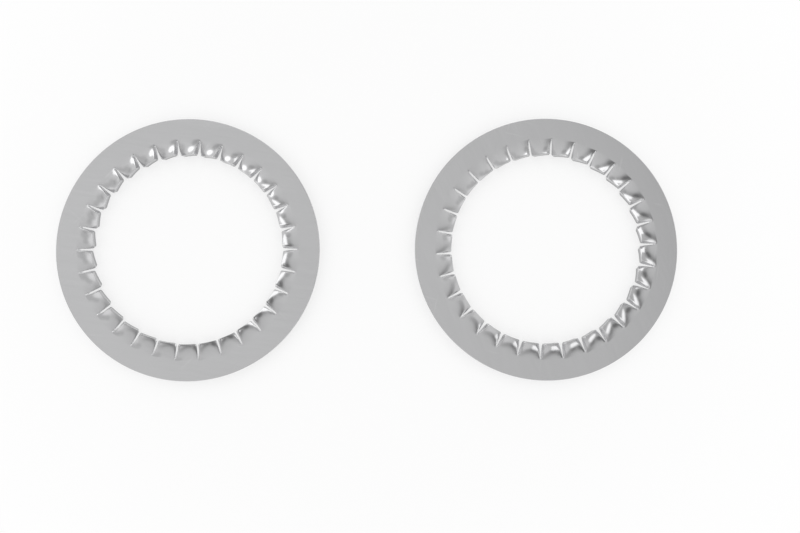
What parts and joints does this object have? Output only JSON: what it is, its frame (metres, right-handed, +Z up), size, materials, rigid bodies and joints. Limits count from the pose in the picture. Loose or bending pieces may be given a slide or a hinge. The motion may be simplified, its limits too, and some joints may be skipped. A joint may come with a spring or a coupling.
{
  "type": "pair of serrated washers",
  "caption": "Pair of flat steel lock washers with a ring of slit and twisted teeth round each bore, lying side by side.",
  "frame": {"origin": "on the floor, midway between the two washers' axes", "axes": "+X from the left washer's axis to the right washer's, +Y away from the reader in plan, +Z up along both bore axes"},
  "size_m": [0.1654, 0.07, 0.0035],
  "materials": {
    "spring_steel": "satin"
  },
  "bodies": {
    "root": {"left_washer": "spring_steel", "right_washer": "spring_steel"}
  },
  "joints": []
}
